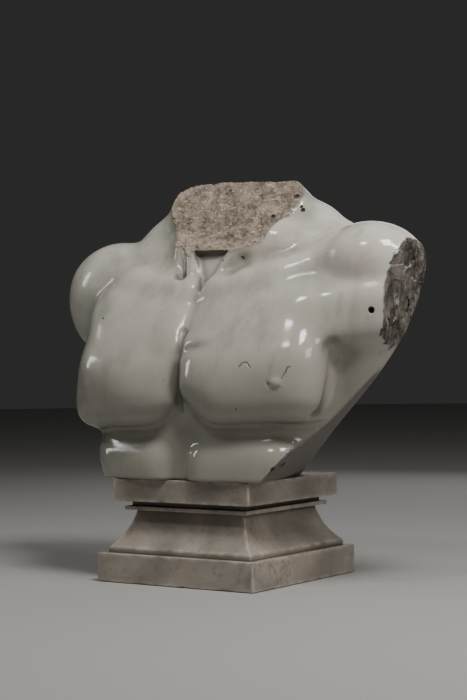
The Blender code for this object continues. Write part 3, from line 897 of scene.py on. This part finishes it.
def honed_marble():
    stone = Nodes("honed marble")
    clouds = stone.ranged(stone.noise(6, 6, (1, 1, 1.6), 0.62, 0.5), 0.36, 0.66)
    colour = stone.mix(clouds, (0.245, 0.214, 0.176), (0.405, 0.362, 0.308))
    warm = stone.ranged(stone.noise(13, 4), 0.50, 0.70)
    colour = stone.tint(colour, warm, 0.4, (0.400, 0.330, 0.258))
    vein = stone.noise(3.4, 6, (1.6, 1.6, 0.8), 0.62, 0.9)
    off_middle = stone.math("ABSOLUTE", stone.math("SUBTRACT", vein, 0.5), 0.0)
    line = stone.ranged(off_middle, 0.0, 0.012, 1.0, 0.0)
    patch = stone.ranged(stone.noise(8, 3), 0.52, 0.68)
    colour = stone.tint(colour, stone.math("MULTIPLY", line, patch), 0.55, (0.085, 0.075, 0.062))
    rubbed = stone.ranged(stone.noise(45, 4), 0.35, 0.62)
    arris = stone.math("MULTIPLY", stone.attribute("arris"), rubbed)
    colour = stone.tint(colour, arris, 0.6, (0.64, 0.585, 0.50))
    # Inner corners and the recess darker: painted shade.
    colour = stone.tint(colour, stone.attribute("hollow"), 0.8, (0.055, 0.047, 0.038))
    dust = stone.ranged(stone.noise(110, 5), 0.54, 0.72)
    colour = stone.tint(colour, dust, 0.35, (0.15, 0.130, 0.105))
    stone.link(colour, stone.shader.inputs["Base Color"])
    roughness = stone.ranged(stone.noise(20, 4), 0.3, 0.7, 0.38, 0.56)
    stone.link(roughness, stone.shader.inputs["Roughness"])
    stone.bump(stone.noise(150, 5), 0.35, 0.0008)
    return stone.material


# The plinth's moulding, from under its foot to the top: half-widths and heights of its edges
PLINTH_PROFILE = (
    (0.144, 0.0), (0.150, 0.0), (0.150, 0.0454), (0.1368, 0.0454), (0.1368, 0.0537), (0.1035, 0.1127),
    (0.1177, 0.1127), (0.1177, 0.1190), (0.1090, 0.1190), (0.1090, 0.1277), (0.1306, 0.1277),
    (0.1306, 0.1637), (0.1240, 0.1637),
)
# The hollow moulding runs from this edge to the next, and how deep it is
COVE_FOOT = 4
COVE_HOLLOW = 0.0055
# The recess under the top slab, darkened with painted shade: its half-width, foot and top, with room around
RECESS = (0.112, 0.118, 0.129)
STEP_ALONG_PROFILE = 0.0035
STEPS_PER_SIDE = 96
# Radii to which the edges are worn, and to which they are chipped in places
ARRIS_WEAR = 0.0016
CHIP_WEAR = 0.0060
LEAST_WEAR = 0.0004
# How far the pale rub of an edge and the painted shade of an inner corner spread
RUB_SPREAD = 0.0035
# A distance that stands for nothing being near
FAR = 1.0


def plinth_outline():
    """Places along the moulding, closer together near its edges, as rows of numbers by name: half-width and
    height, the inward direction, that of the stretch before where a worn edge lies between the two, and the
    distances along the stretch to a worn edge and to an inner corner."""
    corners = np.array(PLINTH_PROFILE)
    along = np.diff(corners, axis=0)
    lengths = np.linalg.norm(along, axis=1)
    ahead = along / lengths[:, None]
    turning = ahead[:-1, 0] * ahead[1:, 1] - ahead[:-1, 1] * ahead[1:, 0]
    worn = np.concatenate([[False], turning > 0.3, [False]])
    inner = np.concatenate([[False], turning < -0.3, [False]])
    places = []
    for number, length in enumerate(lengths):
        steps = max(4, round(length / STEP_ALONG_PROFILE))
        inward = np.array([-ahead[number, 1], ahead[number, 0]])
        for step in range(steps):
            share = 0.5 - 0.5 * math.cos(math.pi * step / steps)
            place = corners[number] + share * along[number]
            if number == COVE_FOOT:
                place = place + COVE_HOLLOW * 4 * share * (1 - share) * inward
            ends = ((share * length, number), ((1 - share) * length, number + 1))
            to_worn = min([gap for gap, end in ends if worn[end]] + [FAR])
            to_inner = min([gap for gap, end in ends if inner[end]] + [FAR])
            before = (0.0, 0.0)
            if step == 0 and worn[number]:
                before = (-ahead[number - 1, 1], ahead[number - 1, 0])
            places.append((*place, *inward, *before, to_worn, to_inner))
    places.append((*corners[-1], 0, -1, 0, 0, FAR, FAR))
    names = ("half", "height", "flat", "up", "flat_before", "up_before", "to_worn", "to_inner")
    return dict(zip(names, np.array(places).T))


def worn_back(gap, radius):
    """How far an edge worn to a radius lies behind the unworn face, at a distance from the edge."""
    left = np.maximum(radius - gap, 0)
    return 0.6 * left ** 2 / (2 * radius)


def plinth_sides(outline, along):
    """Places on the four unworn sides, their inward directions, those of the stretch before, and the
    directions along the sides, each with a row for each level and a column for each step round."""
    upward = np.array([0.0, 0.0, 1.0])
    shape = (*along.shape, 3)
    sides = []
    for side in range(4):
        angle = math.radians(90 * side)
        out = np.array([math.cos(angle), math.sin(angle), 0.0])
        aside = np.array([-math.sin(angle), math.cos(angle), 0.0])
        places = outline["half"][..., None] * out + along[..., None] * aside
        places = places + outline["height"][..., None] * upward
        inward = outline["flat"][..., None] * out + outline["up"][..., None] * upward
        before = outline["flat_before"][..., None] * out + outline["up_before"][..., None] * upward
        sides.append([np.broadcast_to(part, shape) for part in (places, inward, before, aside)])
    return (np.concatenate(part, 1) for part in zip(*sides))


def make_plinth():
    outline = {name: values[:, None] for name, values in plinth_outline().items()}
    steps = np.arange(STEPS_PER_SIDE) / STEPS_PER_SIDE
    along = outline["half"] * np.sin(math.pi * (steps - 0.5))
    places, inward, before, aside = plinth_sides(outline, along)
    to_corner = np.tile(outline["half"] - np.abs(along), (1, 4))
    levels, ring = to_corner.shape

    points = places.reshape(-1, 3)
    rough = lumps(points, 0.014, 31) + 0.6 * lumps(points, 0.006, 32)
    chipped = np.maximum(lumps(points, 0.019, 33) - 0.42, 0)
    radius = np.maximum(ARRIS_WEAR * (0.9 + 0.5 * rough) + CHIP_WEAR * chipped, LEAST_WEAR)
    radius = radius.reshape(to_corner.shape)
    upright = np.abs(inward[..., 2]) < 0.5
    side_back = np.where(upright, worn_back(to_corner, radius), 0)
    edge_back = worn_back(outline["to_worn"], radius)
    full_back = worn_back(0.0, radius)
    at_corner = np.zeros(to_corner.shape, bool)
    at_corner[:, ::STEPS_PER_SIDE] = True
    corner_back = np.where(at_corner & upright, full_back, 0)
    moved = places + inward * (side_back + edge_back)[..., None]
    moved = moved + before * full_back[..., None] + aside * corner_back[..., None]

    index = np.arange(levels * ring).reshape(levels, ring)
    after = np.roll(index, -1, 1)
    faces = np.stack([index[:-1], after[:-1], after[1:], index[1:]], -1).reshape(-1, 4).tolist()
    faces.append(index[0, ::-1].tolist())
    faces.append(index[-1].tolist())
    mesh = bpy.data.meshes.new("plinth_stone")
    mesh.from_pydata(moved.reshape(-1, 3).tolist(), [], faces)
    mesh.update()

    to_edge = np.minimum(to_corner, outline["to_worn"])
    recess_half, recess_foot, recess_top = RECESS
    in_recess = (outline["height"] > recess_foot) & (outline["height"] < recess_top)
    in_recess = in_recess & (outline["half"] < recess_half)
    # Painted shade in inner corners and in the recess.
    dirt_and_shade = np.maximum(np.exp(-outline["to_inner"] / RUB_SPREAD), 0.9 * in_recess)
    shares = {"arris": np.exp(-(to_edge / RUB_SPREAD) ** 2), "hollow": np.broadcast_to(dirt_and_shade, to_corner.shape)}
    return piece_of(mesh, shares)


def soft_box(name, place, target, size, watts, colour=(1, 1, 1)):
    """A rectangular lamp that faces its target."""
    lamp = bpy.data.lights.new(name, "AREA")
    lamp.shape = "RECTANGLE"
    lamp.size, lamp.size_y = size
    lamp.energy = watts
    lamp.color = colour
    thing = bpy.data.objects.new(name, lamp)
    thing.location = place
    thing.rotation_euler = (Vector(target) - Vector(place)).to_track_quat("-Z", "Y").to_euler()
    bpy.context.scene.collection.objects.link(thing)


FLOOR_RADIUS = 9.0
FLOOR_CORNERS = 96
FLOOR_DROP = 0.001


def make_floor():
    """A plain round floor a hair under the plinth."""
    mesh = bpy.data.meshes.new("floor")
    around = [math.tau * number / FLOOR_CORNERS for number in range(FLOOR_CORNERS)]
    rim = [(FLOOR_RADIUS * math.cos(angle), FLOOR_RADIUS * math.sin(angle), -FLOOR_DROP) for angle in around]
    mesh.from_pydata(rim, [], [tuple(range(FLOOR_CORNERS))])
    floor = bpy.data.objects.new("floor", mesh)
    bpy.context.scene.collection.objects.link(floor)
    paint = bpy.data.materials.new("floor")
    paint.use_nodes = True
    shader = paint.node_tree.nodes["Principled BSDF"]
    shader.inputs["Base Color"].default_value = (0.42, 0.415, 0.405, 1)
    shader.inputs["Roughness"].default_value = 0.9
    mesh.materials.append(paint)
    return floor


def studio():
    make_floor()
    world = bpy.data.worlds.new("studio")
    world.use_nodes = True
    sky = world.node_tree.nodes["Background"]
    sky.inputs["Color"].default_value = (0.80, 0.80, 0.79, 1)
    sky.inputs["Strength"].default_value = 0.035
    bpy.context.scene.world = world
    centre = (0.0, 0.0, 0.42)
    plinth_side = (0.06, 0.0, 0.20)
    soft_box("key", (0.95, -0.62, 2.05), centre, (0.55, 0.55), 31, (1.0, 0.975, 0.94))
    soft_box("front", (-0.10, -1.25, 2.05), centre, (0.30, 0.22), 7)
    soft_box("left", (-1.75, -0.66, 1.10), centre, (0.22, 0.55), 3.6)
    soft_box("right", (1.35, -0.05, 1.90), centre, (0.30, 0.40), 3.7, (1.0, 0.96, 0.93))
    soft_box("low right", (1.75, -0.25, 0.95), plinth_side, (0.50, 0.50), 5.6, (1.0, 0.97, 0.94))
    soft_box("behind", (-0.5, 2.1, 1.1), centre, (1.4, 1.4), 5.0)


def camera():
    """The camera at the photograph's place and angle."""
    azimuth = math.radians(CAMERA_AZIMUTH)
    elevation = math.radians(CAMERA_ELEVATION)
    roll = math.radians(CAMERA_ROLL)
    backward = Vector((math.sin(azimuth) * math.cos(elevation), -math.cos(azimuth) * math.cos(elevation),
                       math.sin(elevation)))
    right = Vector((math.cos(azimuth), math.sin(azimuth), 0))
    upward = backward.cross(right)
    across = math.cos(roll) * right + math.sin(roll) * upward
    above = math.cos(roll) * upward - math.sin(roll) * right
    lens = bpy.data.cameras.new("camera")
    lens.lens = CAMERA_LENS
    lens.sensor_width = CAMERA_SENSOR
    lens.clip_start = CAMERA_NEAR
    thing = bpy.data.objects.new("camera", lens)
    place = backward * CAMERA_DISTANCE + right * CAMERA_SIDEWAYS + Vector((0, 0, CAMERA_HEIGHT))
    thing.matrix_world = Matrix.Translation(place) @ Matrix((across, above, backward)).transposed().to_4x4()
    bpy.context.scene.collection.objects.link(thing)
    bpy.context.scene.camera = thing


torso = make_torso()
torso.data.materials.append(polished_marble())
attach(torso, "root")
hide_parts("torso")

plinth = make_plinth()
plinth.data.materials.append(honed_marble())
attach(plinth, "root")
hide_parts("plinth")

studio()
camera()
